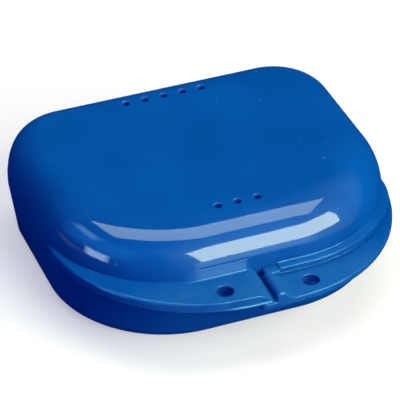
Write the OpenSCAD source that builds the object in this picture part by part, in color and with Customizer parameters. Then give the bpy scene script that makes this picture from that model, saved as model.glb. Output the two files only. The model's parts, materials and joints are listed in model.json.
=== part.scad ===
// Orthodontic retainer case: a moulded base and a pillow-shaped lid, hinged at the back on a pin.
// X runs along the hinge, the thumb tabs face -Y and +Z is up.
// The origin is the middle of the overall box, at the height of the table.

/* [Body] */
// Width of the case across its straight sides
case_w = 82; // [72:0.5:96]
// Depth of the body from its front wall to its back wall, without tabs and hinge
body_d = 66.8; // [58:0.2:80]
// Height of the base, up to the parting plane
base_h = 14.7; // [10:0.1:22]
// Height of the lid above the parting plane
lid_h = 12.2; // [9:0.1:18]
// Plan radius of the two back corners
back_corner_r = 15.5; // [12:0.5:18]
// Plan radius of the two front corners
front_corner_r = 29.7; // [22:0.1:33]

/* [Base walls] */
// Thickness of the base's side walls
base_wall = 2; // [1.6:0.1:3]
// Thickness of the base's floor
floor_t = 1.8; // [1.2:0.1:3]
// Draft of the base's walls, in degrees from upright
wall_draft = 8.2; // [2:0.2:10]
// Radius of the rounding under the base
bottom_round = 2.9; // [1.5:0.1:4]

/* [Lid dome] */
// Wall thickness of the lid
lid_wall = 1.8; // [1.4:0.1:2.6]
// How far the dome's rounding reaches in from the back edge
back_round = 7.9; // [6:0.1:10]
// How far the dome's rounding reaches in from the front edge
front_round = 15; // [10:0.5:20]
// Fullness of the dome's rounding: 2 is an ellipse, more is squarer
dome_power = 2.6; // [2:0.1:3]

/* [Closing rim] */
// Thickness of the base's lip that locates the lid
lip_t = 0.7; // [0.5:0.1:1]
// Height of that lip above the parting plane
lip_h = 1.2; // [0.8:0.1:2]
// Clearance between the lip and the lid's rebate
lip_clear = 0.2; // [0.15:0.05:0.3]
// How far the lid's bead stands out over the base's tab
bead_w = 1.7; // [1:0.1:2.4]
// Height of that bead
bead_h = 1.9; // [1.2:0.1:3]

/* [Thumb tabs] */
// How far the tabs reach in front of the body
tab_d = 10.6; // [7:0.2:14]
// Radius of the tabs' front edge
tab_arc_r = 95; // [60:1:120]
// Radius that blends that edge into the sides
tab_corner_r = 35.5; // [30:0.5:38]
// Thickness of the lid's tab
lid_tab_t = 2.6; // [1.8:0.1:4]
// Thickness of the base's tab
base_tab_t = 1.9; // [1.4:0.1:3]
// Chamfer along the tabs' free edges
tab_chamfer = 0.5; // [0.2:0.1:0.8]
// Width of the slot between the two tabs
slot_w = 1; // [0.6:0.1:2]
// Distance of the slot's middle from the case's middle, towards the lid's tab
slot_offset = 0.3; // [0:0.1:2]
// How far the base's tab reaches under the lid's tab, past the slot
underlap = 2.6; // [0:0.1:5]
// Rounding of the lid tab's top edge along the slot
tab_end_round = 1.1; // [0.2:0.1:1.6]
// Fillet where the dome meets the lid's tab
foot_fillet = 2; // [1:0.1:3]
// Length of the flat thumb pad cut into the dome's foot
pad_l = 16.4; // [10:0.2:20]
// How far the thumb pad reaches behind the dome's front edge
pad_setback = 0.2; // [0:0.1:1]
// Lean of the pad's back wall, in degrees from upright
pad_lean = 12; // [0:1:20]

/* [Tab holes] */
// Diameter of the hole in each tab
hole_d = 3.9; // [3:0.1:4.6]
// Distance between the two holes
hole_pitch = 20.6; // [16:0.2:26]
// Distance of the holes behind the tabs' front edge
hole_setback = 5; // [4:0.1:6]

/* [Latch] */
// Width of the latch post that stands on the base's tab
post_w = 3.5; // [2.5:0.1:6]
// Depth of the latch post
post_d = 2.6; // [2:0.1:4]
// Height of the latch post above the parting plane
post_h = 2; // [1.2:0.1:3]
// Clearance between the post and the notch in the lid
post_clear = 0.3; // [0.2:0.05:0.5]
// Height of the ridge beside the slot
ridge_h = 2.2; // [1:0.1:3]
// Width of the ridge's crown
ridge_crown_w = 1.4; // [0.6:0.1:2.5]
// Width of the ramp from the crown down to the tab
ridge_ramp_w = 3.3; // [2:0.1:5]

/* [Vents] */
// Diameter of the vent holes in the lid
vent_d = 2.2; // [1.5:0.1:3]
// Distance between neighbouring vents
vent_pitch = 4.75; // [4:0.05:6]
// Vents in the row near the hinge
rear_vents = 5; // [1:1:7]
// Vents in the row near the tabs
front_vents = 3; // [1:1:5]
// Distance of the rear row from the body's back wall
rear_vent_setback = 8; // [7:0.1:14]
// Distance of the front row from the body's front wall
front_vent_setback = 12.5; // [11:0.1:20]

/* [Hinge] */
// Radius of the hinge knuckles
knuckle_r = 2; // [1.8:0.1:2.6]
// Gap between the knuckles and the walls beside them
hinge_gap = 0.25; // [0.2:0.05:0.6]
// Length of the lid's knuckle
lid_knuckle_l = 24; // [14:0.5:30]
// Length of each of the base's two knuckles
base_knuckle_l = 7; // [4:0.5:9]
// End gap between neighbouring knuckles
knuckle_gap = 0.3; // [0.2:0.05:0.5]
// Height of the gussets that carry the knuckles
gusset_h = 5; // [3:0.1:7]
// Diameter of the hinge pin
pin_d = 1.8; // [1.4:0.1:2.2]
// Radial running clearance of the pin in the lid's knuckle
pin_clear = 0.06; // [0.03:0.01:0.1]
// Radial interference that holds the pin in the base's knuckles
pin_grip = 0.01; // [0:0.005:0.02]
// How far the pin's ends lie inside the outer knuckles
pin_recess = 0.4; // [0:0.1:1]

/* [Hidden] */

// Steps along each arc of an outline, and rings up the dome
arc_steps = 20;
dome_steps = 10;
fillet_steps = 4;
// Sides of the round holes and pins
$fn = 48;
// How far a cut runs past the face that it opens, and a piece into the one that it grows from
past = 1;
sink = 0.8;
mould_blue = "royalblue";

// Places along Y, with the overall depth centred on the origin
hinge_reach = hinge_gap + 2 * knuckle_r;
overall_d = tab_d + body_d + hinge_reach;
tab_front_y = -overall_d / 2;
front_y = tab_front_y + tab_d;
back_y = front_y + body_d;
hinge_y = back_y + hinge_gap + knuckle_r;
hole_y = tab_front_y + hole_setback;
post_back_y = front_y + pad_setback - post_clear;
post_front_y = post_back_y - post_d;
ridge_back_y = front_y - bead_w - post_clear;

// Places along X: the slot's two faces, the post, the notch around it
half_w = case_w / 2;
lid_tab_end_x = -slot_offset - slot_w / 2;
base_tab_end_x = lid_tab_end_x - underlap;
ridge_x = -slot_offset + slot_w / 2;
post_x = ridge_x + (ridge_crown_w + ridge_ramp_w - post_w) / 2;
notch_end_x = post_x + post_w + post_clear;
pad_start_x = lid_tab_end_x - pad_l;
base_knuckle_x = lid_knuckle_l / 2 + knuckle_gap;
hinge_end_x = base_knuckle_x + base_knuckle_l;

// Heights, and the rounding inside the tray, which follows the one under it
lid_top = base_h + lid_h;
inner_round = max(bottom_round - base_wall / 2, 0.5);

// The body's outline is a rounded rectangle. Each arc is [x, y, radius, first angle, last angle].
back_arcs = [
    [half_w - back_corner_r, back_y - back_corner_r, back_corner_r, 0, 90],
    [back_corner_r - half_w, back_y - back_corner_r, back_corner_r, 90, 180]
];
body_arcs = concat(back_arcs, [
    [front_corner_r - half_w, front_y + front_corner_r, front_corner_r, 180, 270],
    [half_w - front_corner_r, front_y + front_corner_r, front_corner_r, 270, 360]
]);

// The tabs' outline shares the back and sides, and bows forward in one arc that blends into them.
tab_arc_y = tab_front_y + tab_arc_r;
tab_corner_x = half_w - tab_corner_r;
tab_corner_y = tab_arc_y - sqrt(pow(tab_arc_r - tab_corner_r, 2) - pow(tab_corner_x, 2));
tab_blend = atan2(tab_corner_y - tab_arc_y, tab_corner_x);
tab_arcs = concat(back_arcs, [
    [-tab_corner_x, tab_corner_y, tab_corner_r, 180, 180 - tab_blend],
    [0, tab_arc_y, tab_arc_r, 180 - tab_blend, 360 + tab_blend],
    [tab_corner_x, tab_corner_y, tab_corner_r, 360 + tab_blend, 360]
]);

// Points along a chain of arcs, each as [x, y, outward normal x, outward normal y]
function chain(arcs) = [
    for (a = arcs, i = [0 : arc_steps])
        let (t = a[3] + (a[4] - a[3]) * i / arc_steps)
        [a[0] + a[2] * cos(t), a[1] + a[2] * sin(t), cos(t), sin(t)]
];
body_chain = chain(body_arcs);
tab_chain = chain(tab_arcs);

// A chain moved inwards and set at a height
function ring(points, inset, z) = [for (p = points) [p[0] - p[2] * inset, p[1] - p[3] * inset, z]];

// The dome's rounding is even at the back and sides, and grows smoothly towards the front edge.
function rounding(p) = back_round + (front_round - back_round) * pow((1 - p[3]) / 2, 2);

// One ring of the dome, a wall inside the outer skin. turn runs from 0 at its foot to 90 at its flat top.
function dome_ring(wall, turn) = [
    for (p = body_chain)
        let (inset = wall + (rounding(p) - wall) * (1 - cos(turn)))
        [p[0] - p[2] * inset, p[1] - p[3] * inset,
         base_h + (lid_h - wall) * pow(1 - pow(cos(turn), dome_power), 1 / dome_power)]
];

// How far the dome's skin lies inside the outline at a height above the parting plane
function dome_inset(p, h) = rounding(p) * (1 - pow(1 - pow(h / lid_h, dome_power), 1 / dome_power));

// How far a drafted wall of the base lies inside the outline at a height
function draft_inset(z) = (base_h - z) * tan(wall_draft);

// A solid through a stack of rings with equal numbers of points
module loft(rings) {
    n = len(rings[0]);
    last = (len(rings) - 1) * n;
    polyhedron(
        points = [for (r = rings) each r],
        faces = concat(
            [[for (i = [0 : n - 1]) i]],
            [[for (i = [n - 1 : -1 : 0]) last + i]],
            [for (j = [0 : n : last - n], i = [0 : n - 1]) [j + i, j + n + i, j + n + (i + 1) % n]],
            [for (j = [0 : n : last - n], i = [0 : n - 1]) [j + i, j + n + (i + 1) % n, j + (i + 1) % n]]
        )
    );
}

module plan(points, inset = 0) {
    polygon([for (p = points) [p[0] - p[2] * inset, p[1] - p[3] * inset]]);
}

// A box over the front of the case, from one x to another, up to where the corners' arcs start
module front_zone(x0, x1) {
    translate([x0, tab_front_y - past, -past])
        cube([x1 - x0, tab_d + front_corner_r + past, lid_top + 2 * past]);
}

// A round bar along the hinge's axis
module hinge_bar(r, x0, x1) {
    translate([x0, hinge_y, base_h])
        rotate([0, 90, 0])
            cylinder(h = x1 - x0, r = r);
}

// The gusset between a wall and its knuckle. side is 1 above the parting plane and -1 below it.
module gusset(x0, x1, side) {
    translate([x0, 0, 0])
        rotate([90, 0, 90])
            linear_extrude(height = x1 - x0)
                polygon([
                    [back_y - sink, base_h],
                    [hinge_y, base_h],
                    [hinge_y, base_h + side * (knuckle_r - sink / 2)],
                    [back_y - sink, base_h + side * gusset_h]
                ]);
}

// The through hole in a tab. side is -1 for the lid's tab and 1 for the base's.
module tab_hole(side) {
    translate([side * hole_pitch / 2, hole_y, base_h - base_tab_t - past])
        cylinder(h = base_tab_t + lid_tab_t + 2 * past, d = hole_d);
}

// A crescent plate in front of the body with chamfered edges, between two heights
module tab_plate(z0, z1) {
    loft([
        ring(tab_chain, tab_chamfer, z0),
        ring(tab_chain, 0, z0 + tab_chamfer),
        ring(tab_chain, 0, z1 - tab_chamfer),
        ring(tab_chain, tab_chamfer, z1)
    ]);
}

module base_outside() {
    foot = draft_inset(bottom_round);
    loft(concat(
        [for (i = [0 : fillet_steps])
            let (t = 90 * i / fillet_steps)
            ring(body_chain, foot + bottom_round * (1 - sin(t)), bottom_round * (1 - cos(t)))],
        [ring(body_chain, 0, base_h)]
    ));
}

// The tray's hollow, open at the top through the lip
module base_inside() {
    foot = base_wall + draft_inset(floor_t + inner_round);
    loft(concat(
        [for (i = [0 : fillet_steps])
            let (t = 90 * i / fillet_steps)
            ring(body_chain, foot + inner_round * (1 - sin(t)), floor_t + inner_round * (1 - cos(t)))],
        [ring(body_chain, base_wall, base_h)],
        [ring(body_chain, base_wall, base_h + lip_h + past)]
    ));
}

// The lip that the lid's rebate fits over
module locating_lip() {
    translate([0, 0, base_h - sink])
        linear_extrude(height = lip_h + sink)
            plan(body_chain, base_wall - lip_t);
}

// The base's tab, with the ridge beside the slot, which starts clear of the lid's bead
module base_tab() {
    intersection() {
        union() {
            tab_plate(base_h - base_tab_t, base_h);
            translate([0, ridge_back_y, 0])
                rotate([90, 0, 0])
                    linear_extrude(height = tab_d + past)
                        polygon([
                            [ridge_x, base_h - sink],
                            [ridge_x, base_h + ridge_h],
                            [ridge_x + ridge_crown_w, base_h + ridge_h],
                            [ridge_x + ridge_crown_w + ridge_ramp_w, base_h],
                            [ridge_x + ridge_crown_w + ridge_ramp_w, base_h - sink]
                        ]);
        }
        front_zone(base_tab_end_x, half_w + past);
        translate([0, 0, -past])
            linear_extrude(height = lid_top)
                plan(tab_chain);
    }
}

module latch_post() {
    translate([post_x, post_front_y, base_h - sink])
        cube([post_w, post_d, post_h + sink]);
}

module base() {
    color(mould_blue)
        difference() {
            union() {
                base_outside();
                locating_lip();
                base_tab();
                latch_post();
                for (side = [0, 1])
                    mirror([side, 0, 0]) {
                        gusset(base_knuckle_x, hinge_end_x, -1);
                        hinge_bar(knuckle_r, base_knuckle_x, hinge_end_x);
                    }
            }
            base_inside();
            tab_hole(1);
            hinge_bar(pin_d / 2 - pin_grip, -hinge_end_x - past, hinge_end_x + past);
        }
}

module dome_skin(wall) {
    loft([for (i = [0 : dome_steps]) dome_ring(wall, 90 * i / dome_steps)]);
}

// The lid's hollow: the dome's inside, and the rebate round its mouth
module lid_inside() {
    dome_skin(lid_wall);
    translate([0, 0, base_h - past])
        linear_extrude(height = lip_h + lip_clear + past)
            plan(body_chain, base_wall - lip_t - lip_clear);
}

// The bead on the lid's right half, no wider than the tab that it stands on
module lid_bead() {
    intersection() {
        translate([0, 0, base_h])
            linear_extrude(height = bead_h)
                intersection() {
                    plan(body_chain, -bead_w);
                    plan(tab_chain, tab_chamfer);
                }
        front_zone(lid_tab_end_x, half_w + past);
    }
}

// The concave fillet from the dome down to the lid's tab
module foot_skirt() {
    loft(concat(
        [[for (p = body_chain)
            let (out = foot_fillet - dome_inset(p, lid_tab_t))
            [p[0] + p[2] * out, p[1] + p[3] * out, base_h + lid_tab_t - sink]]],
        [for (i = [0 : fillet_steps])
            let (t = 90 * i / fillet_steps, h = lid_tab_t + foot_fillet * (1 - cos(t)))
            [for (p = body_chain)
                let (out = foot_fillet * (1 - sin(t)) - dome_inset(p, h))
                [p[0] + p[2] * out, p[1] + p[3] * out, base_h + h]]]
    ));
}

// The front of the case left of the slot, with the lid tab's top edge rounded along it
module lid_tab_zone() {
    translate([0, front_y + front_corner_r, base_h])
        rotate([90, 0, 0])
            linear_extrude(height = tab_d + front_corner_r + past)
                polygon(concat(
                    [[-half_w - past, lid_h], [-half_w - past, 0], [lid_tab_end_x, 0]],
                    [for (i = [0 : fillet_steps])
                        let (t = 90 * i / fillet_steps)
                        [lid_tab_end_x - tab_end_round * (1 - cos(t)), lid_tab_t - tab_end_round * (1 - sin(t))]],
                    [[lid_tab_end_x - tab_end_round, lid_h]]
                ));
}

module lid_tab() {
    intersection() {
        union() {
            tab_plate(base_h, base_h + lid_tab_t);
            foot_skirt();
        }
        lid_tab_zone();
        translate([0, 0, base_h])
            linear_extrude(height = lid_h)
                plan(tab_chain);
    }
}

// What is cut from the dome's foot to make the flat thumb pad
module thumb_pad_cut() {
    rise = lid_h - lid_tab_t;
    wall_y = front_y + pad_setback;
    translate([pad_start_x, 0, base_h + lid_tab_t])
        rotate([90, 0, 90])
            linear_extrude(height = lid_tab_end_x - pad_start_x + past)
                polygon([
                    [tab_front_y - past, 0],
                    [wall_y, 0],
                    [wall_y + rise * tan(pad_lean), rise],
                    [tab_front_y - past, rise]
                ]);
}

// The notch in the lid's rim for the latch post
module latch_notch() {
    depth = post_back_y + post_clear - tab_front_y;
    translate([lid_tab_end_x, tab_front_y - past, base_h - past])
        cube([notch_end_x - lid_tab_end_x, depth + past, post_h + post_clear + past]);
}

module vent_row(count, y) {
    for (i = [0 : count - 1])
        translate([(i - (count - 1) / 2) * vent_pitch, y, lid_top - lid_wall - past])
            cylinder(h = lid_wall + 2 * past, d = vent_d);
}

module lid() {
    color(mould_blue)
        difference() {
            union() {
                dome_skin(0);
                lid_bead();
                lid_tab();
                gusset(-lid_knuckle_l / 2, lid_knuckle_l / 2, 1);
                hinge_bar(knuckle_r, -lid_knuckle_l / 2, lid_knuckle_l / 2);
            }
            lid_inside();
            thumb_pad_cut();
            latch_notch();
            tab_hole(-1);
            vent_row(rear_vents, back_y - rear_vent_setback);
            vent_row(front_vents, front_y + front_vent_setback);
            hinge_bar(pin_d / 2 + pin_clear, -lid_knuckle_l / 2 - past, lid_knuckle_l / 2 + past);
        }
}

module hinge_pin() {
    color("silver")
        hinge_bar(pin_d / 2, pin_recess - hinge_end_x, hinge_end_x - pin_recess);
}

base();
lid();
hinge_pin();
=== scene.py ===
import json
import math

import bmesh
import bpy
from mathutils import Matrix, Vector


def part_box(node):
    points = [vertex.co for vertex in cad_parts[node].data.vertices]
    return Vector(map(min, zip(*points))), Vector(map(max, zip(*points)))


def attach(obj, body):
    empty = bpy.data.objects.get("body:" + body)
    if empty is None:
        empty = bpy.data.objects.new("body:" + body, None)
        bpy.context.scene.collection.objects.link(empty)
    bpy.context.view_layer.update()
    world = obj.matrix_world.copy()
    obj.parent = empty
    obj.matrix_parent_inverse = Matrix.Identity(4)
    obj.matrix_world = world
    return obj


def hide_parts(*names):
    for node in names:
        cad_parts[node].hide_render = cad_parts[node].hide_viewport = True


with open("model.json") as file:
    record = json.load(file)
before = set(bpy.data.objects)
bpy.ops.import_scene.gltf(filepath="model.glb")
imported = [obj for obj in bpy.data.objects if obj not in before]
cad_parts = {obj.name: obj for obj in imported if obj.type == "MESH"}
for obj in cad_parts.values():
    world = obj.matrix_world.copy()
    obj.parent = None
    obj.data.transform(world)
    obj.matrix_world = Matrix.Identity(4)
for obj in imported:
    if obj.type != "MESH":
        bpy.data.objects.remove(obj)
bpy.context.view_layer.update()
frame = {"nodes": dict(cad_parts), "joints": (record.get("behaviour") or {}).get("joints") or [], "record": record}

mm = 0.001               # sizes below are in millimetres, Blender works in metres

hinge = [joint for joint in frame["joints"] if joint["name"] == "lid_hinge"][0]
hingeY = hinge["pos_m"][1] / mm
partingZ = hinge["pos_m"][2] / mm
lidLow, lidHigh = [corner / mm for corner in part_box("lid")]
halfWidth = lidHigh.x
lidTopZ = lidHigh.z
tabFrontY = lidLow.y
tabHoles = {mount["name"]: mount for mount in frame["record"]["mounts"]}
print("frame loaded, parting line at", round(partingZ, 2), "mm")

# The plan that the tray and the lid share: a rounded rectangle, and the crescent of the two tabs.
casePlan = {
    "depth": 66.8,           # front wall to back wall
    "hingeOffset": 2.25,     # back wall to hinge axis
    "backCorner": 15.5,
    "frontCorner": 29.7,
    "tabArc": 95.0,          # the long front curve of the tabs
    "tabCorner": 35.5,       # the curve that blends it into the sides
    "tabFacing": -0.02,      # only walls that face further forward than this carry a tab
    "squareFront": -0.9,     # and those that face past this are the front itself
    "tabGrow": 0.8,          # a tab or bead is fully formed from this reach on
    "leastReach": 0.02,
    "cornerSteps": 44,
    "sideSteps": 7,
    "backSteps": 13,
}
backY = hingeY - casePlan["hingeOffset"]
frontY = backY - casePlan["depth"]
tabArcY = tabFrontY + casePlan["tabArc"]
tabCornerX = halfWidth - casePlan["tabCorner"]
tabCornerY = tabArcY - math.sqrt((casePlan["tabArc"] - casePlan["tabCorner"]) ** 2 - tabCornerX ** 2)
tabBlendX = tabCornerX * casePlan["tabArc"] / (casePlan["tabArc"] - casePlan["tabCorner"])


def clamp(value, low=0.0, high=1.0):
    return max(low, min(high, value))


def smooth(value):
    value = clamp(value)
    return value * value * (3 - 2 * value)


def mix(a, b, share):
    return a + (b - a) * share


def ramp(value, low, high):
    return smooth((value - low) / (high - low))


def between(a, b, steps):
    # the inner stops of a straight run, without its ends
    return [mix(a, b, i / steps) for i in range(1, steps)]


def shares(steps):
    # even shares of a run, up to 1
    return [i / steps for i in range(1, steps + 1)]


def quarterTurn(steps, first=1):
    # share, sine and cosine at even steps of a quarter turn
    stops = []
    for i in range(first, steps + 1):
        turn = math.radians(90 * i / steps)
        stops.append((i / steps, math.sin(turn), math.cos(turn)))
    return stops


def blendRuns(bare, shelf, shown):
    # two runs of a section with matching points, and what is between them
    return [(mix(b[0], s[0], shown), mix(b[1], s[1], shown)) for b, s in zip(bare, shelf)]


def cornerStations(cx, cy, radius, first, last, part):
    stations = []
    for i in range(casePlan["cornerSteps"] + 1):
        turn = math.radians(mix(first, last, i / casePlan["cornerSteps"]))
        out = Vector((math.cos(turn), math.sin(turn)))
        stations.append({"at": Vector((cx, cy)) + radius * out, "out": out, "part": part})
    return stations


def walkOutline(frontStops):
    # once round the case, counter-clockwise from the right side; frontStops are (x, part) pairs
    back, front = casePlan["backCorner"], casePlan["frontCorner"]
    sideLow, sideHigh = frontY + front, backY - back
    rightX, leftX = halfWidth - back, back - halfWidth

    def straight(points, out, part="plain"):
        return [{"at": Vector(p), "out": Vector(out), "part": part} for p in points]

    walk = straight([(halfWidth, y) for y in between(sideLow, sideHigh, casePlan["sideSteps"])], (1, 0))
    walk += cornerStations(rightX, sideHigh, back, 0, 90, "plain")
    walk += straight([(x, backY) for x in between(rightX, leftX, casePlan["backSteps"])], (0, 1))
    walk += cornerStations(leftX, sideHigh, back, 90, 180, "plain")
    walk += straight([(-halfWidth, y) for y in between(sideHigh, sideLow, casePlan["sideSteps"])], (-1, 0))
    walk += cornerStations(front - halfWidth, sideLow, front, 180, 270, frontStops[0][1])
    for x, part in frontStops:
        walk += straight([(x, frontY)], (0, -1), part)
    walk += cornerStations(halfWidth - front, sideLow, front, 270, 360, frontStops[-1][1])
    return walk


def tabReach(station):
    # how far the tabs' outline stands out from the wall, straight out from this point
    at, out = station["at"], station["out"]
    if out.y > casePlan["tabFacing"]:
        return 0.0
    if abs(out.x) > 0.001:               # doesn't face straight ahead
        side = (halfWidth - abs(at.x)) / abs(out.x)
        if at.y + side * out.y >= tabCornerY:
            return side
    for centre, radius in (
        (Vector((math.copysign(tabCornerX, at.x), tabCornerY)), casePlan["tabCorner"]),
        (Vector((0, tabArcY)), casePlan["tabArc"]),
    ):
        gap = at - centre
        along = gap.dot(out)
        reach = -along + math.sqrt(along * along - gap.length_squared + radius * radius)
        if abs((at + reach * out).x) >= tabBlendX:
            return reach
    return reach


# Finishes. A noise is a scale and a detail; a range is where it starts and where it is full.
# Heights, depths and places in a finish are in metres.
bluePlastic = {
    "color": (0.0015, 0.084, 0.358, 1),
    "deepColor": (0.001, 0.071, 0.32, 1),
    "cloudNoise": (60, 3),           # faint unevenness of the colour
    "cloudRange": (0.35, 0.62),
    # paler blue of the front tabs: partly real rubbing, partly painted light for the light the tabs catch
    "scuffAndPaintedLightColor": (0.013, 0.120, 0.375, 1),
    "scuffAndPaintedLightY": (-0.027, -0.034),      # the tabs are rubbed paler, partly painted light, from here towards the front
    "scuffNoise": (170, 4),
    "scuffRange": (0.3, 0.65),
    "scuffLeast": 0.45,              # share of the rubbing that is left in the freshest spots
    "dustColor": (0.30, 0.42, 0.62, 1),
    "dustScale": 420,
    "dustSize": (0.05, 0.13),
    "dustNoise": (900, 1),           # picks the few specks that show
    "dustRange": (0.63, 0.7),
    "dustShow": 0.75,
    "roughness": (0.03, 0.07),
    "wearNoise": (140, 4),           # handled patches are a little duller
    "wearRange": (0.3, 0.7),
    "scuffRoughness": 0.11,          # added on the rubbed tabs
    "rippleNoise": (220, 2),         # the mould's slight ripple
    "rippleStrength": 0.03,
    "rippleDepth": 0.0006,
    "ior": 1.38,
    "glossLevel": 0.28,
    "glossFacing": (0.30, 0.38),     # the gloss fades where the surface turns away
    "glossUpright": (0.315, 0.345),  # and on the drafted side faces, which the mould leaves duller
    "sideGloss": 0.05,
    "edgeShine": (0.30, 0.85, 1, 1),         # light in the thin rims and tabs turns their shine blue
    "edgeShineZ": (0.0174, 0.0180),          # up to this height
    "boreNoise": (900, 2),           # fine marks of the core pins
    "boreRange": (0.2, 0.5),
    "boreDull": (0.5, 0.1),          # roughness and gloss of the holes' walls
    "ventRimDull": (0.45, 0.2),      # and of the vents' rounded rims
    "ventColor": (0.001, 0.060, 0.44, 1),    # light soaks through the thin wall round a vent
    # painted shade: the tab holes' walls are a darker blue for the shade inside the holes
    "tabHoleShadeColor": (0.001, 0.034, 0.26, 1),
}
pinSteel = {
    "color": (0.56, 0.56, 0.58, 1),
    "roughness": (0.22, 0.38),
    "drawnScale": (60, 900, 900),    # marks of the die, drawn out along the pin
    "drawnDetail": 3,
    "drawnRange": (0.3, 0.7),
}
white = (1, 1, 1, 1)


def newMaterial(name):
    material = bpy.data.materials.new(name)
    material.use_nodes = True
    tree = material.node_tree
    return material, tree, tree.nodes["Principled BSDF"]


def addNode(tree, kind, **values):
    node = tree.nodes.new(kind)
    for key, value in values.items():
        if key in node.inputs:
            node.inputs[key].default_value = value
        else:
            setattr(node, key, value)
    return node


def feed(tree, socket, value):
    # a socket takes a number, a colour or another node's output
    if isinstance(value, (int, float, tuple)):
        socket.default_value = value
    else:
        tree.links.new(value, socket)


def noiseOn(tree, coords, scale, detail):
    noise = addNode(tree, "ShaderNodeTexNoise", Scale=scale, Detail=detail)
    tree.links.new(coords.outputs["Object"], noise.inputs["Vector"])
    return noise.outputs["Fac"]


def rangeOf(tree, source, low, high, toLow=0, toHigh=1):
    node = tree.nodes.new("ShaderNodeMapRange")
    for slot, value in zip(("From Min", "From Max", "To Min", "To Max"), (low, high, toLow, toHigh)):
        node.inputs[slot].default_value = value
    tree.links.new(source, node.inputs["Value"])
    return node.outputs["Result"]


def mixColor(tree, share, a, b):
    node = addNode(tree, "ShaderNodeMix", data_type="RGBA")
    for slot, value in (("Factor", share), ("A", a), ("B", b)):
        feed(tree, node.inputs[slot], value)
    return node.outputs["Result"]


def mathOf(tree, operation, *values):
    node = addNode(tree, "ShaderNodeMath", operation=operation)
    for socket, value in zip(node.inputs, values):
        feed(tree, socket, value)
    return node.outputs["Value"]


def splitVector(tree, source):
    node = tree.nodes.new("ShaderNodeSeparateXYZ")
    tree.links.new(source, node.inputs["Vector"])
    return node.outputs


def makeHoleBlue(name, color, roughness, gloss):
    material, tree, shader = newMaterial(name)
    coords = tree.nodes.new("ShaderNodeTexCoord")
    marks = rangeOf(tree, noiseOn(tree, coords, *bluePlastic["boreNoise"]), *bluePlastic["boreRange"])
    tree.links.new(mixColor(tree, marks, bluePlastic["deepColor"], color), shader.inputs["Base Color"])
    shader.inputs["IOR"].default_value = bluePlastic["ior"]
    shader.inputs["Roughness"].default_value = roughness
    shader.inputs["Specular IOR Level"].default_value = gloss
    return material


def makeBluePlastic():
    material, tree, shader = newMaterial("blue_moulded_plastic")
    link = tree.links.new
    coords = tree.nodes.new("ShaderNodeTexCoord")
    place = splitVector(tree, coords.outputs["Object"])

    def patches(noise, span, *toSpan):
        return rangeOf(tree, noiseOn(tree, coords, *bluePlastic[noise]), *bluePlastic[span], *toSpan)

    cloud = patches("cloudNoise", "cloudRange")
    shade = mixColor(tree, cloud, bluePlastic["deepColor"], bluePlastic["color"])
    # the front tabs are painted paler: partly rubbing, partly painted light
    front = rangeOf(tree, place["Y"], *bluePlastic["scuffAndPaintedLightY"])
    rubbed = patches("scuffNoise", "scuffRange", bluePlastic["scuffLeast"], 1)
    scuffAndLight = mathOf(tree, "MULTIPLY", front, rubbed)
    wornAndLit = mixColor(tree, scuffAndLight, shade, bluePlastic["scuffAndPaintedLightColor"])
    grains = addNode(tree, "ShaderNodeTexVoronoi", Scale=bluePlastic["dustScale"])
    link(coords.outputs["Object"], grains.inputs["Vector"])
    speck = rangeOf(tree, grains.outputs["Distance"], *bluePlastic["dustSize"], 1, 0)
    dust = mathOf(tree, "MULTIPLY", speck, patches("dustNoise", "dustRange", 0, bluePlastic["dustShow"]))
    link(mixColor(tree, dust, wornAndLit, bluePlastic["dustColor"]), shader.inputs["Base Color"])

    dull = patches("wearNoise", "wearRange", *bluePlastic["roughness"])
    rubbedDull = mathOf(tree, "MULTIPLY_ADD", scuffAndLight, bluePlastic["scuffRoughness"], dull)
    link(rubbedDull, shader.inputs["Roughness"])
    bump = addNode(tree, "ShaderNodeBump", Strength=bluePlastic["rippleStrength"],
                   Distance=bluePlastic["rippleDepth"])
    link(noiseOn(tree, coords, *bluePlastic["rippleNoise"]), bump.inputs["Height"])
    link(bump.outputs["Normal"], shader.inputs["Normal"])

    shader.inputs["IOR"].default_value = bluePlastic["ior"]
    turned = addNode(tree, "ShaderNodeLayerWeight", Blend=0.5).outputs["Facing"]
    facing = rangeOf(tree, turned, *bluePlastic["glossFacing"], bluePlastic["glossLevel"], 0)
    tilt = mathOf(tree, "ABSOLUTE", splitVector(tree, coords.outputs["Normal"])["Z"])
    upright = rangeOf(tree, tilt, *bluePlastic["glossUpright"], bluePlastic["sideGloss"], 1)
    link(mathOf(tree, "MULTIPLY", facing, upright), shader.inputs["Specular IOR Level"])
    low = rangeOf(tree, place["Z"], *bluePlastic["edgeShineZ"], 1, 0)
    link(mixColor(tree, low, white, bluePlastic["edgeShine"]), shader.inputs["Specular Tint"])
    return material


def makePinSteel():
    material, tree, shader = newMaterial("hinge_pin_steel")
    coords = tree.nodes.new("ShaderNodeTexCoord")
    stretch = addNode(tree, "ShaderNodeMapping", Scale=pinSteel["drawnScale"])
    tree.links.new(coords.outputs["Object"], stretch.inputs["Vector"])
    drawn = addNode(tree, "ShaderNodeTexNoise", Scale=1, Detail=pinSteel["drawnDetail"])
    tree.links.new(stretch.outputs["Vector"], drawn.inputs["Vector"])
    dull = rangeOf(tree, drawn.outputs["Fac"], *pinSteel["drawnRange"], *pinSteel["roughness"])
    tree.links.new(dull, shader.inputs["Roughness"])
    shader.inputs["Base Color"].default_value = pinSteel["color"]
    shader.inputs["Metallic"].default_value = 1
    return material


blue = makeBluePlastic()
ventBlue = makeHoleBlue("blue_vent_bore", bluePlastic["ventColor"], *bluePlastic["boreDull"])
ventRimBlue = makeHoleBlue("blue_vent_rim", bluePlastic["color"], *bluePlastic["ventRimDull"])
# the tab holes' bore finish carries painted shade, darker than the plastic
tabHoleShadedBlue = makeHoleBlue("blue_tab_hole_bore_painted_shade", bluePlastic["tabHoleShadeColor"], *bluePlastic["boreDull"])
steel = makePinSteel()
print("finishes made")


def deselectAll():
    bpy.ops.object.select_all(action="DESELECT")


def makeActive(obj):
    deselectAll()
    obj.select_set(True)
    bpy.context.view_layer.objects.active = obj


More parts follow.
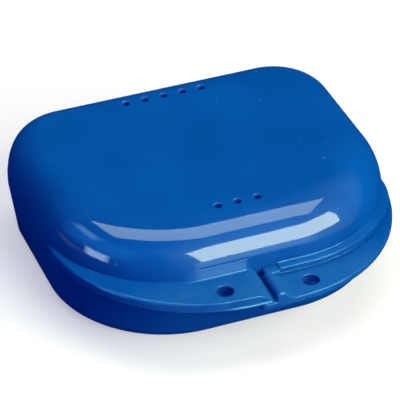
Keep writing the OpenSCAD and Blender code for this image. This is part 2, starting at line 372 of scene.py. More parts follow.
def placeRing(obj, stations, profiles, step):
    # moves the selected ring so that each vertex sits on its own station's profile
    mesh = bmesh.from_edit_mesh(obj.data)
    number = mesh.verts.layers.int["station"]
    for vert in mesh.verts:
        if vert.select:
            station = stations[vert[number]]
            out, height = profiles[vert[number]][step]
            spot = station["at"] + station["out"] * out
            vert.co = Vector((spot.x, spot.y, height)) * mm
    bmesh.update_edit_mesh(obj.data)


def cleanMesh(gap):
    # in edit mode: merges points that lie closer than the gap, and turns all faces outwards
    bpy.ops.mesh.select_all(action="SELECT")
    bpy.ops.mesh.remove_doubles(threshold=gap * mm)
    bpy.ops.mesh.dissolve_degenerate(threshold=0.001 * mm)
    bpy.ops.mesh.normals_make_consistent(inside=False)


def sweepShell(name, stations, profiles):
    # one ring of edges round the outline, extruded again and again along the wall's profile
    deselectAll()
    bpy.ops.mesh.primitive_circle_add(vertices=len(stations), radius=halfWidth * mm, fill_type="NOTHING")
    obj = bpy.context.active_object
    obj.name = name
    bpy.ops.object.mode_set(mode="EDIT")
    bpy.ops.mesh.select_mode(type="VERT")
    bpy.ops.mesh.select_all(action="SELECT")
    mesh = bmesh.from_edit_mesh(obj.data)
    number = mesh.verts.layers.int.new("station")
    for i, vert in enumerate(mesh.verts):
        vert[number] = i
    placeRing(obj, stations, profiles, 0)
    for step in range(1, len(profiles[0])):
        bpy.ops.mesh.extrude_edges_move()
        placeRing(obj, stations, profiles, step)
    bpy.ops.mesh.edge_face_add()                         # closes the last ring
    bpy.ops.mesh.select_all(action="DESELECT")
    bpy.ops.mesh.select_non_manifold()
    bpy.ops.mesh.edge_face_add()                         # and the first one
    cleanMesh(gap=0.002)
    bpy.ops.object.mode_set(mode="OBJECT")
    obj.data.attributes.remove(obj.data.attributes["station"])
    obj.data.materials.append(blue)
    return obj


def isWhole(data):
    # a closed skin has two faces at every edge
    mesh = bmesh.new()
    mesh.from_mesh(data)
    whole = len(mesh.faces) > 0 and all(len(edge.link_faces) == 2 for edge in mesh.edges)
    mesh.free()
    return whole


def combine(obj, tool, operation, tries=6):
    # a boolean now and then comes out torn, so each one is looked over and made again if it did
    before = obj.data
    for attempt in range(tries):
        obj.data = before.copy()
        joined = obj.modifiers.new(operation.lower(), "BOOLEAN")
        joined.operation = operation
        joined.solver = "EXACT"
        joined.material_mode = "TRANSFER"                # cut faces take the tool's finish
        joined.object = tool
        makeActive(obj)
        bpy.ops.object.modifier_apply(modifier=joined.name)
        changed = len(obj.data.vertices) != len(before.vertices)
        if changed and isWhole(obj.data):
            break
        print("torn", operation.lower(), "on", obj.name, "made again", attempt + 1)
    bpy.data.objects.remove(tool)


def bevelTool(obj, width, segments=3, angle=40):
    soften = obj.modifiers.new("soften", "BEVEL")
    soften.width = width * mm
    soften.segments = segments
    soften.limit_method = "ANGLE"
    soften.angle_limit = math.radians(angle)
    makeActive(obj)
    bpy.ops.object.modifier_apply(modifier=soften.name)


def settle(obj):
    makeActive(obj)
    bpy.ops.object.transform_apply(location=True, rotation=True, scale=True)


def finishSurface(obj, angle=30):
    makeActive(obj)
    bpy.ops.object.mode_set(mode="EDIT")
    cleanMesh(gap=0.001)
    bpy.ops.object.mode_set(mode="OBJECT")
    bpy.ops.object.shade_smooth_by_angle(angle=math.radians(angle))


def holeCutter(x, y, radius, low, high, rim, rimFinish, boreFinish, sides=56):
    # a drill whose ends flare, so that the hole's two rims come out rounded
    rims = 6
    past = 1.0
    inside = 0.02            # the flares end this far inside the wall, clear of its faces
    low += inside
    high -= inside
    turns = quarterTurn(rims, first=0)
    flare = [(rim * (1 - cosine), radius + rim * (1 - sine)) for _, sine, cosine in turns]
    stack = [(low - past, radius + rim)]
    stack += [(low + rise, wide) for rise, wide in flare]
    stack += [(high - rise, wide) for rise, wide in reversed(flare)]
    stack.append((high + past, radius + rim))
    deselectAll()
    bpy.ops.mesh.primitive_circle_add(
        vertices=sides, radius=stack[0][1] * mm, fill_type="NGON",
        location=Vector((x, y, stack[0][0])) * mm)
    drill = bpy.context.active_object
    settle(drill)
    bpy.ops.object.mode_set(mode="EDIT")
    bpy.ops.mesh.select_all(action="SELECT")
    for (z0, r0), (z1, r1) in zip(stack, stack[1:]):
        bpy.ops.mesh.extrude_region_move(TRANSFORM_OT_translate={"value": (0, 0, (z1 - z0) * mm)})
        bpy.ops.transform.resize(value=(r1 / r0, r1 / r0, 1), center_override=Vector((x, y, z1)) * mm)
    bpy.ops.mesh.select_all(action="SELECT")
    bpy.ops.mesh.normals_make_consistent(inside=False)
    bpy.ops.object.mode_set(mode="OBJECT")
    drill.data.materials.append(rimFinish)
    drill.data.materials.append(boreFinish)
    for face in drill.data.polygons:
        if low + rim < face.center.z / mm < high - rim:
            face.material_index = 1                      # the straight bore
    return drill


def hingeBar(x0, x1, radius, sides=48):
    deselectAll()
    bpy.ops.mesh.primitive_cylinder_add(
        vertices=sides, radius=radius * mm, depth=(x1 - x0) * mm,
        location=Vector(((x0 + x1) / 2, hingeY, partingZ)) * mm, rotation=(0, math.radians(90), 0))
    bar = bpy.context.active_object
    settle(bar)
    bar.data.materials.append(blue)
    return bar


# How a knuckle and its gusset grow out of the back wall.
knuckleForm = {
    "radius": 2.0,
    "gusset": 5.0,           # how far the gusset runs up or down the wall
    "gussetWaist": 1.96,     # its height at the hinge axis
    "gussetGap": 0.03,       # keeps it clear of the parting face
    "intoWall": 0.9,
    "soften": 0.25,
}


def hingeKnuckle(x0, x1, side):
    # side is 1 for the lid's knuckle, whose gusset goes up, and -1 for the tray's
    bar = hingeBar(x0, x1, knuckleForm["radius"])
    bevelTool(bar, knuckleForm["soften"])
    wallY = backY - knuckleForm["intoWall"]
    corners = [
        (wallY, side * knuckleForm["gussetGap"]), (hingeY, side * knuckleForm["gussetGap"]),
        (hingeY, side * knuckleForm["gussetWaist"]), (wallY, side * knuckleForm["gusset"])]
    deselectAll()
    bpy.ops.mesh.primitive_plane_add(size=2 * mm)
    gusset = bpy.context.active_object
    bpy.ops.object.mode_set(mode="EDIT")
    mesh = bmesh.from_edit_mesh(gusset.data)
    mesh.faces.ensure_lookup_table()
    for vert, (y, rise) in zip(mesh.faces[0].verts, corners):
        vert.co = Vector((x0, y, partingZ + rise)) * mm
    bmesh.update_edit_mesh(gusset.data)
    bpy.ops.mesh.select_all(action="SELECT")
    bpy.ops.mesh.extrude_region_move(TRANSFORM_OT_translate={"value": ((x1 - x0) * mm, 0, 0)})
    bpy.ops.mesh.select_all(action="SELECT")
    bpy.ops.mesh.normals_make_consistent(inside=False)
    bpy.ops.object.mode_set(mode="OBJECT")
    gusset.data.materials.append(blue)
    bevelTool(gusset, knuckleForm["soften"], segments=2)
    combine(bar, gusset, "UNION")
    return bar


# The lid: a pillow dome, the latch tab on its left front and a bead along its right front.
lidShape = {
    "backRound": 7.9,        # how far the dome's rounding reaches in at the back
    "frontRound": 15.0,      # and at the front
    "power": 2.6,            # squareness of the dome's section
    "wall": 1.8,
    "seat": 1.1,             # rim that rests on the tray
    "rebate": 1.4,           # depth of the step that takes the tray's lip
    "rimEase": 0.25,         # broken edge of the rim, which draws the seam
    "skirtTop": 5.0,         # below this the dome's foot takes the tab, the pad and the bead
    "domeSteps": 40,
    "footSteps": 20,
    "shelfSteps": 6,
    "edgeSteps": 5,
    "innerSteps": 22,
    "filletShare": 0.6,      # where the reach is short, no edge takes more than its share of it
    "edgeShare": 0.5,
    "underShare": 0.3,
    "bareShelf": 0.7,        # on a bare rim the points of a tab's top reach down to this share of it
    "bareEdge": 0.4,         # those of its edge to this one
    "bareFoot": (0.36, 0.31, 0.28, 0.25, 0.21),
}
lidTab = {
    "endX": -0.8,
    "thick": 2.6,
    "fillet": 0.08,          # foot of the dome on the tab
    "edge": 0.3,
    "edgeLeft": 0.7,         # the edge is softer on the left side
    "edgeFade": (-24.0, -8.0),
    "under": 0.45,           # chamfer below its front edge
    "ledge": 0.3,            # fine step low on its front face, near the slot
    "ledgeRise": 0.62,       # its height
    "ledgeShare": 0.8,       # the most of a low face that it takes
    "ledgeChamfer": (0.18, 0.21),    # its bright edge: how far in and how far down
    "chamferShare": 0.6,
    "ledgeFade": (-12.5, -10.5),
    "ledgeUnder": 0.15,      # chamfer below the ledge
    "endRound": 1.9,         # rounding of its end beside the slot, at the dome
    "endRoundFront": 3.1,    # and at the front edge
    "endCurve": 1.15,        # 1 is a straight bevel, 2 a full round
    "endDrop": 1.1,
    "endDropFront": 1.75,
    "endReach": 10.0,        # where the front values are reached
    "endPower": 1.5,
    "padLeft": -17.0,        # the flat thumb pad fades out to the left of this
    "padFade": 2.2,
    "padRunOut": (-3.4, -1.0),       # and runs out into the dome towards the slot
    "padProud": 0.42,        # its foot stands out from the wall by this much
    "padLean": 23.0,
    "padCrease": 0.25,
    "padBlend": 0.2,
    "holeRim": 0.22,
}
lidBead = {
    "startX": 4.5,
    "height": 2.2,           # at the dome
    "fall": 0.25,            # its top slopes down to the edge by this much
    "width": 1.7,
    "fillet": 0.3,
    "edge": 0.3,
    "under": 0.12,
    "insideTab": 0.5,
}
lidRise = lidTopZ - partingZ


def domeSpread(station):
    lean = (1 - station["out"].y) / 2
    return mix(lidShape["backRound"], lidShape["frontRound"], lean * lean)


def domeInset(spread, rise):
    share = 1 - (rise / lidRise) ** lidShape["power"]
    return spread * (1 - max(share, 0) ** (1 / lidShape["power"]))


def domeRun(spread, height, fromRise, steps):
    # points of the dome's section from its flat top down to a height above the parting line
    power = lidShape["power"]
    foot = math.asin((fromRise / height) ** (power / 2))
    points = []
    for i in range(steps + 1):
        ease = (1 - math.cos(math.pi * i / steps)) / 2
        turn = mix(math.pi / 2, foot, ease)
        inset = spread * (1 - max(math.cos(turn), 0) ** (2 / power))
        points.append((-inset, height * math.sin(turn) ** (2 / power)))
    return points


def hollow(rise, radius):
    # how far a concave fillet stands out at this height above its foot
    share = clamp(1 - rise / radius) if radius > 0 else 0
    return radius * (1 - math.sqrt(1 - share * share))


def softLower(a, b, blend):
    share = clamp(0.5 + (b - a) / (2 * blend))
    return mix(b, a, share) - blend * share * (1 - share)


def footOfTab(x, dome, above, fillet):
    # the dome's foot above the tab, with the flat thumb pad standing a little proud of it
    pad = lidTab["padProud"] - above * math.tan(math.radians(lidTab["padLean"]))
    fade = max(lidTab["padLeft"] - x, 0) / lidTab["padFade"]
    raised = -softLower(-dome, fade * fade - pad, lidTab["padBlend"])
    crease = mix(fillet, lidTab["padCrease"], 1 - clamp(fade))
    return mix(raised, dome, ramp(x, *lidTab["padRunOut"])) + hollow(above, crease)


def tabEndDrop(x, out):
    # the tab's top rolls down towards the slot, in a wider curve at the front edge
    front = clamp(out / lidTab["endReach"]) ** lidTab["endPower"]
    width = mix(lidTab["endRound"], lidTab["endRoundFront"], front)
    share = clamp((x - lidTab["endX"] + width) / width)
    return mix(lidTab["endDrop"], lidTab["endDropFront"], front) * share ** lidTab["endCurve"]


def shelfTop(station):
    # height of the tab or bead at a station, and of the matching point on a bare rim
    x = station["at"].x
    if station["part"] == "tab":
        return lidTab["thick"] - tabEndDrop(x, 0)
    if station["part"] == "bead":
        return lidBead["height"]
    if station["out"].y < casePlan["squareFront"]:
        share = (x - lidTab["endX"]) / (lidBead["startX"] - lidTab["endX"])
        return mix(lidTab["thick"] - lidTab["endDrop"], lidBead["height"], share)
    return mix(lidTab["thick"], lidBead["height"], clamp((x + halfWidth) / (2 * halfWidth)))


def lidProfile(station):
    x = station["at"].x
    tab = station["part"] == "tab"
    form = lidTab if tab else lidBead
    spread = domeSpread(station)
    top = shelfTop(station)
    reach = tabReach(station)
    if station["part"] == "bead":
        reach = min(lidBead["width"], reach - lidBead["insideTab"])
    shown = 0 if station["part"] == "plain" else smooth(reach / casePlan["tabGrow"])
    reach = max(reach, casePlan["leastReach"])
    edge, under, ledge = form["edge"], form["under"], 0
    if tab:
        edge = mix(lidTab["edgeLeft"], edge, ramp(x, *lidTab["edgeFade"]))
        stepped = ramp(x, *lidTab["ledgeFade"])
        ledge = lidTab["ledge"] * stepped
        under = mix(under, lidTab["ledgeUnder"], stepped)
    fillet = min(form["fillet"], lidShape["filletShare"] * reach)
    edge = min(edge, lidShape["edgeShare"] * reach)
    under = min(under, lidShape["underShare"] * reach)
    face = reach - ledge

    skirt = lidShape["skirtTop"]
    points = domeRun(spread, lidRise, skirt, lidShape["domeSteps"])
    bare = []
    shelf = []
    for share in shares(lidShape["footSteps"]):
        rise = top + (skirt - top) * (1 - share) ** 2
        dome = -domeInset(spread, rise)
        bare.append((dome, rise))
        if tab:
            shelf.append((footOfTab(x, dome, rise - top, fillet), rise))
        else:
            shelf.append((dome + hollow(rise - top, fillet), rise))
    start = shelf[-1][0]
    for share in shares(lidShape["shelfSteps"]):
        out = mix(start, face - edge, share)
        if tab:
            shelf.append((out, lidTab["thick"] - tabEndDrop(x, out)))
        else:
            shelf.append((out, top - lidBead["fall"] * share))
        bare.append((0, top * mix(1, lidShape["bareShelf"], share)))
    edgeTop = shelf[-1][1]
    for share, sine, cosine in quarterTurn(lidShape["edgeSteps"]):
        shelf.append((face - edge * (1 - sine), edgeTop - edge * (1 - cosine)))
        bare.append((0, top * mix(lidShape["bareShelf"], lidShape["bareEdge"], share)))

    # the front face with its ledge, down to the underside; the hundredths ease the corners
    faceTop = edgeTop - edge
    step = min(lidTab["ledgeRise"], lidTab["ledgeShare"] * faceTop)
    chamferIn, chamferDown = lidTab["ledgeChamfer"]
    chamferIn = min(chamferIn, lidTab["chamferShare"] * ledge)
    shelf += [(face, mix(step, faceTop, 0.5)), (face, step + 0.04), (face + 0.03, step)]
    shelf += [(reach - chamferIn, step - 0.02), (reach, step - chamferDown), (reach, under + 0.06)]
    shelf += [(reach - 0.06, under - 0.02), (reach - under, 0.03), (reach - under - 0.06, 0)]
    ease = lidShape["rimEase"]
    bare += [(0, share * top) for share in lidShape["bareFoot"]]
    bare += [(0, ease + 0.02), (-0.3 * ease, 0.4 * ease), (-0.7 * ease, 0.1 * ease), (-ease, 0)]
    points += blendRuns(bare, shelf, shown)

    seat, wall = lidShape["seat"], lidShape["wall"]
    points += [(-ease, 0), (-seat, 0), (-seat, lidShape["rebate"])]
    inner = domeRun(spread - wall, lidRise - wall, lidShape["rebate"], lidShape["innerSteps"])
    points += [(out - wall, rise) for out, rise in reversed(inner)]
    return [(out, partingZ + rise) for out, rise in points]


# Where the front is sampled: close together at the tab's end and at the bead's start.
tabEndStops = [-9.4, -7.6, -6.0, -4.8, -3.9, -3.3, -2.9, -2.5, -2.15, -1.85, -1.6, -1.4, -1.22, -1.08,
               -0.96, -0.88, -0.83]
lidStops = [(x, "tab") for x in tabEndStops + [lidTab["endX"]]]
lidStops += [(x, "plain") for x in [lidTab["endX"], 0.2, 1.2, 2.2, 3.2, 4.0, lidBead["startX"]]]
lidStops += [(x, "bead") for x in [lidBead["startX"], 4.6, 4.9, 5.4, 6.4, 8.0, 9.8]]
lidStations = walkOutline(lidStops)
lid = sweepShell("lid_moulding", lidStations, [lidProfile(station) for station in lidStations])
print("lid swept,", len(lid.data.polygons), "faces")

lidFittings = {
    "knuckle": (-12.0, 12.0),
    "pinBore": 0.96,
    "borePast": 1.0,         # how far the drill runs past the knuckle
    "ventDiameter": 1.75,
    "ventPitch": 4.75,
    "ventRim": 0.3,
    "ventRows": [(5, 28.575), (3, -17.725)],    # how many, and where the row lies
}
x0, x1 = lidFittings["knuckle"]
combine(lid, hingeKnuckle(x0, x1, 1), "UNION")
past = lidFittings["borePast"]
combine(lid, hingeBar(x0 - past, x1 + past, lidFittings["pinBore"]), "DIFFERENCE")

vent = holeCutter(0, 0, lidFittings["ventDiameter"] / 2, lidTopZ - lidShape["wall"], lidTopZ,
                  lidFittings["ventRim"], ventRimBlue, ventBlue)
for count, rowY in lidFittings["ventRows"]:
    for i in range(count):
        drill = vent.copy()
        drill.data = vent.data.copy()
        bpy.context.collection.objects.link(drill)
        drill.location = Vector(((i - (count - 1) / 2) * lidFittings["ventPitch"], rowY, 0)) * mm
        settle(drill)
        combine(lid, drill, "DIFFERENCE")
bpy.data.objects.remove(vent)
print("lid vents cut")


def drillTabHole(obj, mountName, low, high):
    mount = tabHoles[mountName]
    spot = Vector(mount["pos_m"]) / mm
    radius = mount["dims"]["r_mm"]
    drill = holeCutter(spot.x, spot.y, radius, low, high, lidTab["holeRim"], blue, tabHoleShadedBlue)
    combine(obj, drill, "DIFFERENCE")


drillTabHole(lid, "lid_tab_hole", partingZ, partingZ + lidTab["thick"])
finishSurface(lid)
print("lid done")

# The tray: drafted walls, a lip inside the lid, the right tab with its ridge, and the latch post.
trayShape = {
    "wall": 2.0,
    "floor": 1.8,
    "draft": 8.2,
    "bottomRound": 2.9,
    "innerRound": 1.9,
    "rimEase": 0.08,
    "lip": 0.7,
    "lipRise": 1.2,
    "lipEase": 0.2,          # its outer edge
    "lipInnerEase": 0.1,
    "bottomSteps": 9,
    "wallSteps": 7,
    "innerSteps": 9,
}
trayTab = {
    "endX": -3.4,            # it starts under the lid's tab
    "endRound": 1.2,
    "thick": 1.9,
    "fillet": 0.4,
    "lowerEdge": 0.8,
    "upperEdge": 0.3,
    "edgeShare": 0.3,        # where the reach is short, its edges take no more than this share of it
    "filletSteps": 4,
    "shelfSteps": 4,
    "edgeSteps": 5,
    "bareShelf": (0, 0.4),           # heights over its underside of the matching points on a bare wall
    "bareLower": (0.4, 1.1),
    "bareUpper": (1.22, 1.72),
    "ridgeX": 0.2,
    "ridgeRise": 2.25,
    "ridgeRound": 1.0,
    "ridgeRamp": 1.15,       # a little over 1 keeps the crest fuller
    "ridgeFoot": 5.0,
    "ridgeBack": 2.0,        # how far from the wall the ridge ends
    "backShare": 0.5,
    "ridgeCrest": ((0.5, 1), (0.85, 1), (0.97, 0.97), (1, 0.85), (1, 0)),    # how far back, how high
    "ridgeEdge": 0.75,
}
latchPost = {"x": 0.8, "width": 3.5, "depth": 2.6, "rise": 2.1, "setOff": 0.1, "soften": 0.3, "sunk": 0.8}


def draftInset(z):
    return (partingZ - z) * math.tan(math.radians(trayShape["draft"]))


def wallPoint(z):
    return (-draftInset(z), z)


def ridgeRise(x):
    # the ridge beside the slot: steep and rounded on the left, a long ramp on the right
    along = x - trayTab["ridgeX"]
    if along < 0:
        return 0.0
    rise, rounding = trayTab["ridgeRise"], trayTab["ridgeRound"]
    if along < rounding:
        share = 1 - along / rounding
        return rise - rounding * (1 - math.sqrt(1 - share * share))
    fall = clamp((along - rounding) / (trayTab["ridgeFoot"] - trayTab["ridgeX"] - rounding))
    return rise * (1 - smooth(fall ** trayTab["ridgeRamp"]))


def trayProfile(station):
    x = station["at"].x
    tab = station["part"] == "tab"
    bottom = trayShape["bottomRound"]
    fillet = trayTab["fillet"]
    tabLow = partingZ - trayTab["thick"]
    points = []
    for _, sine, cosine in quarterTurn(trayShape["bottomSteps"], first=0):
        points.append((-draftInset(bottom) - bottom * (1 - sine), bottom * (1 - cosine)))
    points += [wallPoint(mix(bottom, tabLow - fillet, share)) for share in shares(trayShape["wallSteps"])]

    reach = max(tabReach(station), casePlan["leastReach"])
    shown = smooth(reach / casePlan["tabGrow"]) if tab else 0
    if tab and station["out"].y < casePlan["squareFront"]:
        share = clamp((trayTab["endX"] + trayTab["endRound"] - x) / trayTab["endRound"])
        reach -= trayTab["endRound"] * (1 - math.sqrt(1 - share * share))
    lower = min(trayTab["lowerEdge"], trayTab["edgeShare"] * reach)
    upper = min(trayTab["upperEdge"], trayTab["edgeShare"] * reach)
    rise = ridgeRise(x) if tab and not station.get("flat") else 0
    upper = mix(upper, trayTab["ridgeEdge"], clamp(rise))

    shelf = []
    bare = []
    for _, sine, cosine in quarterTurn(trayTab["filletSteps"]):
        z = tabLow - fillet * cosine
        shelf.append((fillet * (1 - cosine) - draftInset(z), tabLow - fillet * (1 - sine)))
        bare.append(wallPoint(z))
    start = shelf[-1][0]
    for share in shares(trayTab["shelfSteps"]):
        shelf.append((mix(start, reach - lower, share), tabLow))
        bare.append(wallPoint(tabLow + mix(*trayTab["bareShelf"], share)))
    for share, sine, cosine in quarterTurn(trayTab["edgeSteps"]):
        shelf.append((reach - lower * (1 - sine), tabLow + lower * (1 - cosine)))
        bare.append(wallPoint(tabLow + mix(*trayTab["bareLower"], share)))
    for share, sine, cosine in quarterTurn(trayTab["edgeSteps"], first=0):
        shelf.append((reach - upper * (1 - cosine), partingZ + rise - upper * (1 - sine)))
        bare.append(wallPoint(tabLow + mix(*trayTab["bareUpper"], share)))
    ease = trayShape["rimEase"]
    back = min(trayTab["ridgeBack"], trayTab["backShare"] * reach)
    for share, height in trayTab["ridgeCrest"]:
        shelf.append((mix(reach - upper, back, share), partingZ + rise * height))
        bare.append((-0.3 * ease, partingZ - 0.15 * ease))       # all gathered on the rim's broken edge
    shelf.append((-ease, partingZ))
    bare.append((-ease, partingZ))
    points += blendRuns(bare, shelf, shown)

    wall = trayShape["wall"]
    lipOut = wall - trayShape["lip"]
    lipTop = partingZ + trayShape["lipRise"]
    outerEase, innerEase = trayShape["lipEase"], trayShape["lipInnerEase"]
    points += [(-lipOut, partingZ), (-lipOut, lipTop - outerEase), (-lipOut - outerEase, lipTop)]
    points += [(-wall + innerEase, lipTop), (-wall, lipTop - innerEase), (-wall, partingZ)]
    inner = trayShape["innerRound"]
    low = trayShape["floor"] + inner
    for share in shares(trayShape["innerSteps"]):
        z = mix(partingZ, low, share)
        points.append((-wall - draftInset(z), z))
    for _, sine, cosine in quarterTurn(trayShape["innerSteps"]):
        points.append((-wall - draftInset(low) - inner * (1 - cosine), low - inner * sine))
    return points


# Where the front is sampled: close together at the tab's end and on the ridge.
ridgeStops = [0.28, 0.36, 0.45, 0.56, 0.68, 0.8, 0.95, 1.2, 1.5, 1.8, 2.1, 2.4, 2.7, 3.0, 3.3, 3.6, 3.9,
              4.2, 4.5, 4.75]
endStops = [-3.38, -3.3, -3.15, -2.95, -2.7, -2.45, -2.2, -1.6, -0.9, -0.3]
trayStops = [(x, "plain") for x in [-9.6, -7.4, -5.6, -4.2, trayTab["endX"]]]
trayStops += [(x, "tab") for x in [trayTab["endX"]] + endStops]
trayStops += [(x, "tab") for x in [trayTab["ridgeX"], trayTab["ridgeX"]] + ridgeStops]
trayStops += [(x, "tab") for x in [trayTab["ridgeFoot"], 5.6, 6.6, 8.0, 9.6]]
trayStations = walkOutline(trayStops)
for before, after in zip(trayStations, trayStations[1:]):
    if before["at"] == after["at"] and before["part"] == after["part"]:
        before["flat"] = True                            # the foot of the ridge's steep side
tray = sweepShell("tray_moulding", trayStations, [trayProfile(station) for station in trayStations])
print("tray swept,", len(tray.data.polygons), "faces")

deselectAll()
bpy.ops.mesh.primitive_cube_add(size=1 * mm)
post = bpy.context.active_object
post.scale = (latchPost["width"], latchPost["depth"], latchPost["rise"] + latchPost["sunk"])
post.location = Vector((
    latchPost["x"] + latchPost["width"] / 2,
    frontY - latchPost["setOff"] - latchPost["depth"] / 2,
    partingZ + (latchPost["rise"] - latchPost["sunk"]) / 2)) * mm
settle(post)
post.data.materials.append(blue)
bevelTool(post, latchPost["soften"], segments=4)
combine(tray, post, "UNION")

trayFittings = {
    "knuckles": [(-19.3, -12.3), (12.3, 19.3)],
    "pinBore": 0.89,
    "borePast": (1.0, 0.2),  # how far the drill runs past a knuckle's two ends
}
past = trayFittings["borePast"]
for x0, x1 in trayFittings["knuckles"]:
    combine(tray, hingeKnuckle(x0, x1, -1), "UNION")
    combine(tray, hingeBar(x0 - past[0], x1 + past[1], trayFittings["pinBore"]), "DIFFERENCE")
drillTabHole(tray, "base_tab_hole", partingZ - trayTab["thick"], partingZ)
finishSurface(tray)
print("tray done,", len(tray.data.polygons), "faces")

for piece, node, body in ((lid, "lid", "lid"), (tray, "base", "base")):
    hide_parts(node)
    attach(piece, body)
for materialSlot in frame["nodes"]["hinge_pin"].material_slots:
    materialSlot.material = steel
print("pieces placed on their bodies")

# Floor, light and camera. The studio's sizes are in metres.
studio = {
    "floorSize": 12.0,
    "floorColor": (0.63, 0.63, 0.61, 1),
    "floorGlow": 0.42,                       # lifts the floor to white for the camera, over its shadow
    "floorShade": (0.12, 0.14, 0.38, 1),     # what the floor throws back on the object
    "floorRoughness": 0.9,
    "worldColor": (0.045, 0.045, 0.07, 1),
    "aimZ": 0.02,                            # the height that the softboxes look at
    "layerGap": 0.005,                       # the layers of a glint lie this far apart
    "layerStep": 0.17,                       # and each is smaller by this share
    "softboxes": {
        "overhead": {"spot": (0.055, 0.088, 0.73), "size": (0.70, 0.34), "turn": -15.0, "radiance": 3.7,
                     "color": (1, 1, 0.93), "glint": 8.2, "glintColor": (0.69, 1, 0.79)},
        "front": {"azimuth": 33.0, "elevation": 32.8, "away": 0.8, "size": (0.66, 0.50), "radiance": 7.6,
                  "color": (1, 1, 0.70), "glint": 23.6, "glintColor": (0.82, 1, 0.69)},
        "leftSky": {"azimuth": -68.0, "elevation": 48.0, "away": 0.9, "size": (0.8, 0.7), "radiance": 1.0,
                    "color": (0.03, 0.12, 1)},
        "frontSky": {"azimuth": 6.0, "elevation": 12.0, "away": 0.9, "size": (0.9, 0.4), "radiance": 1.8,
                     "color": (0, 0.2, 1)},
        "backFill": {"azimuth": 180.0, "elevation": 8.0, "away": 1.0, "size": (1.2, 0.5), "radiance": 1.5,
                     "color": (1, 1, 1)},
        "frontHaze": {"azimuth": 28.0, "elevation": 30.0, "away": 1.5, "size": (2.6, 3.0), "glint": 1.6,
                      "glintColor": (0.55, 1, 0.65), "layers": 4},
        "wideHaze": {"azimuth": 66.0, "elevation": 36.0, "away": 1.5, "size": (4.8, 3.2), "glint": 1.3,
                     "glintColor": (0.55, 1, 0.65), "layers": 4},
        "frontLow": {"azimuth": 17.0, "elevation": 8.0, "away": 1.2, "size": (0.6, 0.4), "glint": 6.0,
                     "glintColor": (0.38, 0.78, 1), "layers": 3},
        "leftHaze": {"azimuth": -80.0, "elevation": 33.0, "away": 1.0, "size": (1.4, 0.85), "glint": 6.5,
                     "glintColor": (0.03, 0.35, 1), "layers": 4},
        "leftHigh": {"azimuth": -101.0, "elevation": 43.0, "away": 0.8, "size": (0.34, 0.19), "glint": 6.8,
                     "glintColor": (0.44, 0.82, 1), "layers": 3},
        "leftLow": {"azimuth": -76.0, "elevation": 5.5, "away": 0.8, "size": (0.32, 0.29), "glint": 24.0,
                    "glintColor": (0.56, 0.8, 1), "layers": 3},
    },
}


def makeFloor():
    deselectAll()
    bpy.ops.mesh.primitive_plane_add(size=studio["floorSize"])
    floor = bpy.context.active_object
    floor.name = "floor"
    material, tree, shader = newMaterial("pale_floor")
    rays = tree.nodes.new("ShaderNodeLightPath").outputs
    seen = rays["Is Camera Ray"]
    for name in ("Is Glossy Ray", "Is Transmission Ray"):
        seen = mathOf(tree, "MAXIMUM", seen, rays[name])
    tone = mixColor(tree, seen, studio["floorShade"], studio["floorColor"])
    tree.links.new(tone, shader.inputs["Base Color"])
    glow = mathOf(tree, "MULTIPLY", seen, studio["floorGlow"])
    tree.links.new(glow, shader.inputs["Emission Strength"])
    shader.inputs["Emission Color"].default_value = white
    shader.inputs["Roughness"].default_value = studio["floorRoughness"]
    shader.inputs["Specular IOR Level"].default_value = 0
    floor.data.materials.append(material)


def skyDirection(azimuth, elevation):
    # azimuth 0 is in front of the case, 90 on its right
    a, e = math.radians(azimuth), math.radians(elevation)
    return Vector((math.sin(a) * math.cos(e), -math.cos(a) * math.cos(e), math.sin(e)))


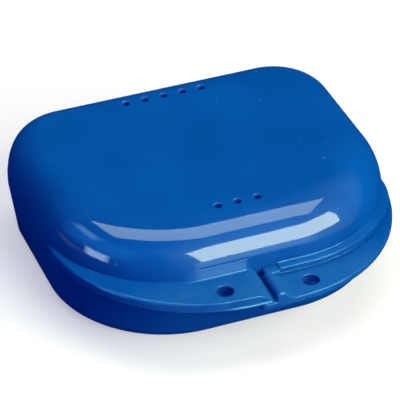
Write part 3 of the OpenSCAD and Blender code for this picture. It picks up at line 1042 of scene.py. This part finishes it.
def addLamp(name, form, radiance, color, glintOnly, nearer=0.0, scale=1.0):
    lamp = bpy.data.lights.new(name, "AREA")
    lamp.shape = "RECTANGLE"
    lamp.size = form["size"][0] * scale
    lamp.size_y = form["size"][1] * scale
    lamp.energy = radiance * math.pi * lamp.size * lamp.size_y
    lamp.color = color
    box = bpy.data.objects.new(name, lamp)
    bpy.context.scene.collection.objects.link(box)
    box.visible_camera = False
    box.visible_diffuse = not glintOnly
    box.visible_glossy = "glint" in form     # a plain fill leaves no reflection
    if "spot" in form:
        box.location = Vector(form["spot"]) - Vector((0, 0, nearer))
        box.rotation_euler = (0, 0, math.radians(form["turn"]))
    else:
        toward = skyDirection(form["azimuth"], form["elevation"])
        box.location = Vector((0, 0, studio["aimZ"])) + toward * (form["away"] - nearer)
        box.rotation_euler = (-toward).to_track_quat("-Z", "Y").to_euler()


def softbox(name, form):
    # radiance lights the case; glint is what the gloss shows on top of that, in layers for a soft edge
    if "radiance" in form:
        addLamp(name + "_light", form, form["radiance"], form["color"], False)
    layers = form.get("layers", 1) if "glint" in form else 0
    for i in range(layers):
        addLamp(name + "_glint_" + str(i), form, form["glint"] / layers, form["glintColor"], True,
                nearer=studio["layerGap"] * (i + 1), scale=1 - studio["layerStep"] * i)


makeFloor()
for name, form in studio["softboxes"].items():
    softbox(name, form)
world = bpy.data.worlds.new("studio_air")
bpy.context.scene.world = world
world.use_nodes = True
world.node_tree.nodes["Background"].inputs["Color"].default_value = studio["worldColor"]
bpy.context.scene.view_settings.view_transform = "Standard"

photoCamera = {
    "azimuth": -21.591,
    "elevation": 35.552,
    "distance": 606.995,
    "target": (-0.042, 4.960, 12.0),
    "focalPixels": 2598.606,     # for an image 400 pixels wide
    "imagePixels": 400,
    "sensor": 36.0,
    "clipStart": 0.01,
}
camera = bpy.data.objects.new("camera", bpy.data.cameras.new("camera"))
bpy.context.scene.collection.objects.link(camera)
lookBack = skyDirection(photoCamera["azimuth"], photoCamera["elevation"])
camera.location = (Vector(photoCamera["target"]) + lookBack * photoCamera["distance"]) * mm
camera.rotation_euler = (-lookBack).to_track_quat("-Z", "Y").to_euler()
camera.data.sensor_width = photoCamera["sensor"]
camera.data.lens = photoCamera["focalPixels"] * photoCamera["sensor"] / photoCamera["imagePixels"]
camera.data.clip_start = photoCamera["clipStart"]
bpy.context.scene.camera = camera
print("floor, lamps and camera placed")
